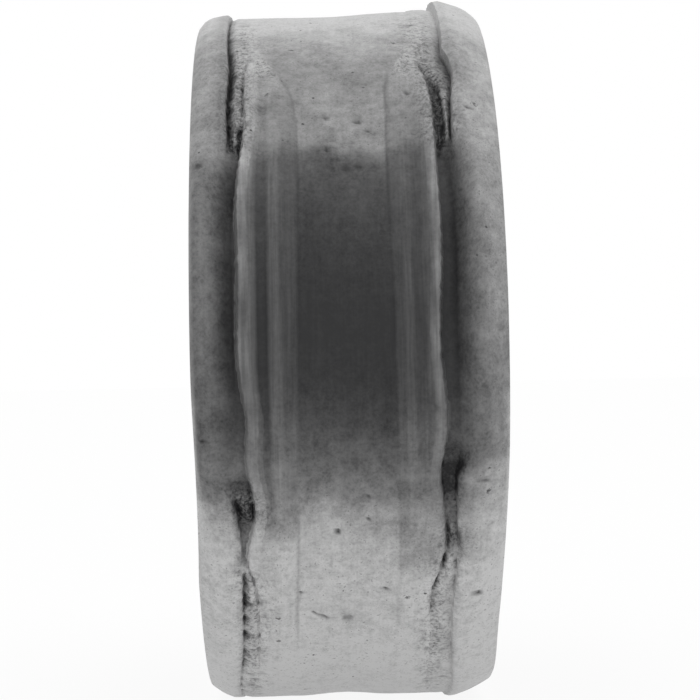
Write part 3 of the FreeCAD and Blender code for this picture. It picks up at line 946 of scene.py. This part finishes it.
def mouldedRubber():
    # natural rubber moulded in a steel tool, with sulphur bloom and dust: black and softly shiny where it is
    # clean, chalky grey elsewhere, with darker specks and dirt in every crack, and painted light, shade and
    # highlights in its marks
    look = rubberLook
    material = bpy.data.materials.new("moulded_rubber_with_bloom")
    material.use_nodes = True
    tree = material.node_tree
    tree.nodes.clear()
    place = addNode(tree, "ShaderNodeTexCoord").outputs["Object"]
    bloomAndPaintedLight, grime, rubbed, crumbs = (
        addNode(tree, "ShaderNodeAttribute", {"attribute_name": name}).outputs["Fac"]
        for name in ("bloomAndPaintedLight", "grime", "rubbed", "crumbs"))

    # bloom, broken up by its patterns and most of all where it is half there
    lacking = addNode(tree, "ShaderNodeMath", {"operation": "SUBTRACT", 0: 1.0}, {1: bloomAndPaintedLight})
    edge = addNode(tree, "ShaderNodeMath", {"operation": "MULTIPLY"}, {0: bloomAndPaintedLight, 1: lacking})
    edge = addNode(tree, "ShaderNodeMath", {"operation": "MULTIPLY", 1: 4.0}, {0: edge})
    total = addNode(tree, "ShaderNodeMath", {"operation": "ADD"}, {0: bloomAndPaintedLight, 1: rubbed})
    pattern = {}
    for name, (size, detail, rough, stretch, shares) in look["patterns"].items():
        spread = addNode(tree, "ShaderNodeMapping", {"Scale": stretch}, {"Vector": place})
        pattern[name] = addNode(tree, "ShaderNodeTexNoise",
                                {"Scale": 1 / (size * mm), "Detail": detail, "Roughness": rough},
                                {"Vector": spread})
        centred = addNode(tree, "ShaderNodeMath", {"operation": "SUBTRACT", 1: 0.5}, {0: pattern[name]})
        amount = addNode(tree, "ShaderNodeMath",
                         {"operation": "MULTIPLY_ADD", 1: shares[1], 2: shares[0]}, {0: bloomAndPaintedLight})
        for mark, share in zip((edge, rubbed, crumbs), shares[2:]):
            if share:
                amount = addNode(tree, "ShaderNodeMath",
                                 {"operation": "MULTIPLY_ADD", 1: share}, {0: mark, 2: amount})
        total = addNode(tree, "ShaderNodeMath",
                        {"operation": "MULTIPLY_ADD"}, {0: centred, 1: amount, 2: total})
    total = addNode(tree, "ShaderNodeMath", {"operation": "ADD", "use_clamp": True, 1: 0.0}, {0: total})

    # dark specks in two sizes, and the darkest of the grit
    grit = pattern["grit"]
    darkest, black, spotDirt = look["spots"]
    dark = addNode(tree, "ShaderNodeMapRange",
                   {"From Min": darkest, "From Max": black, "To Max": spotDirt}, {"Value": grit})
    for size, radius, share in look["specks"]:
        cells = addNode(tree, "ShaderNodeTexVoronoi", {"Scale": 1 / (size * mm)}, {"Vector": place})
        pick = addNode(tree, "ShaderNodeSeparateColor", {}, {"Color": cells.outputs["Color"]})
        chosen = addNode(tree, "ShaderNodeMath", {"operation": "LESS_THAN", 1: share}, {0: pick})
        ragged = addNode(tree, "ShaderNodeMath",
                         {"operation": "MULTIPLY_ADD", 1: look["speckRagged"]}, {0: grit, 2: cells})
        dots = addNode(tree, "ShaderNodeMapRange",
                       {"From Min": radius, "From Max": radius + look["speckEdge"],
                        "To Min": look["speckDirt"], "To Max": 0.0}, {"Value": ragged})
        dots = addNode(tree, "ShaderNodeMath", {"operation": "MULTIPLY"}, {0: dots, 1: chosen})
        dark = addNode(tree, "ShaderNodeMath", {"operation": "MAXIMUM"}, {0: dark, 1: dots})
    start, end = look["dusty"]
    dusty = addNode(tree, "ShaderNodeMapRange", {"From Min": start, "From Max": end}, {"Value": bloomAndPaintedLight})
    dark = addNode(tree, "ShaderNodeMath", {"operation": "MULTIPLY"}, {0: dark, 1: dusty})
    start, end, least = look["unevenDirt"]
    patchy = addNode(tree, "ShaderNodeMapRange", {"From Min": start, "From Max": end, "To Min": least},
                     {"Value": pattern["mottle"]})
    # the grime mark holds dirt and painted shade
    soiled = addNode(tree, "ShaderNodeMath", {"operation": "MULTIPLY"}, {0: grime, 1: patchy})
    dirt = addNode(tree, "ShaderNodeMath", {"operation": "MAXIMUM", "use_clamp": True}, {0: soiled, 1: dark})

    colour = addNode(tree, "ShaderNodeMix", {"data_type": "RGBA"}, {"Factor": total})
    colour.inputs["A"].default_value = linearColour(look["clean"])
    colour.inputs["B"].default_value = linearColour(look["bloomed"])
    dirty = addNode(tree, "ShaderNodeMix", {"data_type": "RGBA"}, {"Factor": dirt})
    tree.links.new(colour.outputs["Result"], dirty.inputs["A"])
    dirty.inputs["B"].default_value = linearColour(look["grime"])

    # a chalky surface is rougher than a bare one, and its dust stands on it
    bare, bloomed = look["roughness"]
    roughness = addNode(tree, "ShaderNodeMapRange", {"To Min": bare, "To Max": bloomed}, {"Value": total})
    bare, more = look["dustHeight"]
    dusted = addNode(tree, "ShaderNodeMath", {"operation": "MULTIPLY_ADD", 1: more, 2: bare}, {0: bloomAndPaintedLight})
    height = addNode(tree, "ShaderNodeMath",
                     {"operation": "MULTIPLY_ADD"}, {0: pattern["mottle"], 1: dusted, 2: grit})
    height = addNode(tree, "ShaderNodeMath", {"operation": "MULTIPLY"}, {0: height, 1: dusted})
    height = addNode(tree, "ShaderNodeMath",
                     {"operation": "MULTIPLY_ADD", 1: -look["speckDepth"]}, {0: dark, 2: height})
    bump = addNode(tree, "ShaderNodeBump", look["bump"], {"Height": height})
    shader = addNode(tree, "ShaderNodeBsdfPrincipled", look["shine"],
                     {"Base Color": dirty.outputs["Result"], "Roughness": roughness, "Normal": bump})
    addNode(tree, "ShaderNodeOutputMaterial", {}, {"Surface": shader})
    return material


def makeRing():
    ring = bareRing()
    shapeRing(ring)
    clearSelection()
    ring.select_set(True)
    bpy.context.view_layer.objects.active = ring
    bpy.ops.object.shade_smooth_by_angle(angle=math.radians(ringForm["smoothBelow"]))
    ring.data.materials.clear()
    ring.data.materials.append(mouldedRubber())
    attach(ring, "root")
    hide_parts("hanger_ring")
    print("ring finished:", len(ring.data.polygons), "faces")
    return ring


# floor, world and lamps
studio = {
    "floorHalf": 1500.0,
    "floorColour": "#f4f4f4",
    "floorLight": 0.55,        # how far the floor glows by itself, as a light table does
    "floorGlow": 0.88,         # share of plain white that the camera sees on it
    "worldLevel": 0.45,        # what the surroundings give as light
    "ceiling": (1.8, 95.0),    # strength of the light from above, and how many degrees wide it is
    "lamps": [                 # name, place, size, watts
        ("softbox_right", (520, -330, 60), 320, 0.5),
        ("softbox_left", (-520, -330, 60), 320, 0.25),
        ("softbox_low", (0, -520, 60), 320, 0.25),
    ],
}


def showsPlainly(tree):
    # 1 for what the camera, a reflection or a view through glass sees, 0 for light
    path = addNode(tree, "ShaderNodeLightPath")
    seen = addNode(tree, "ShaderNodeMath", {"operation": "ADD"},
                   {0: path.outputs["Is Camera Ray"], 1: path.outputs["Is Glossy Ray"]})
    seen = addNode(tree, "ShaderNodeMath", {"operation": "ADD", "use_clamp": True},
                   {0: seen, 1: path.outputs["Is Transmission Ray"]})
    return seen.outputs[0]


def makeStudio():
    s = studio
    clearSelection()
    ground = -ringForm["outerRadius"] * mm
    bpy.ops.mesh.primitive_plane_add(size=2 * s["floorHalf"] * mm, location=(0, 0, ground))
    floor = bpy.context.object
    floor.name = "floor"
    paper = bpy.data.materials.new("matt_white_card")
    paper.use_nodes = True
    tree = paper.node_tree
    tree.nodes.clear()
    card = addNode(tree, "ShaderNodeBsdfDiffuse", {"Color": linearColour(s["floorColour"])})
    glow = addNode(tree, "ShaderNodeEmission", {"Strength": 1.0})
    glowing = addNode(tree, "ShaderNodeMapRange", {"To Min": s["floorLight"], "To Max": s["floorGlow"]},
                      {"Value": showsPlainly(tree)})
    mixed = addNode(tree, "ShaderNodeMixShader", {}, {0: glowing, 1: card, 2: glow})
    addNode(tree, "ShaderNodeOutputMaterial", {}, {"Surface": mixed})
    floor.data.materials.append(paper)

    world = bpy.data.worlds.new("studio")
    world.use_nodes = True
    tree = world.node_tree
    tree.nodes.clear()
    light = addNode(tree, "ShaderNodeBackground", {"Strength": s["worldLevel"]})
    seen = addNode(tree, "ShaderNodeBackground", {"Strength": 1.0})
    light.inputs["Color"].default_value = (1, 1, 1, 1)
    seen.inputs["Color"].default_value = (1, 1, 1, 1)
    both = addNode(tree, "ShaderNodeMixShader", {}, {0: showsPlainly(tree), 1: light, 2: seen})
    addNode(tree, "ShaderNodeOutputWorld", {}, {"Surface": both})
    bpy.context.scene.world = world

    bpy.ops.object.light_add(type="SUN", location=(0, 0, 1))
    ceiling = bpy.context.object
    ceiling.name = "ceiling"
    ceiling.data.energy = s["ceiling"][0]
    ceiling.data.angle = math.radians(s["ceiling"][1])
    for name, place, size, watts in s["lamps"]:
        bpy.ops.object.light_add(type="AREA")
        lamp = bpy.context.object
        lamp.name = name
        lamp.data.shape = "DISK"
        lamp.data.size = size * mm
        lamp.data.energy = watts
        spot = Vector(place) * mm
        lamp.matrix_world = Matrix.Translation(spot) @ (-spot).to_track_quat("-Z", "Y").to_matrix().to_4x4()
    bpy.context.scene.view_settings.view_transform = "Standard"
    print("studio set")


placeCamera()
makeRing()
makeStudio()
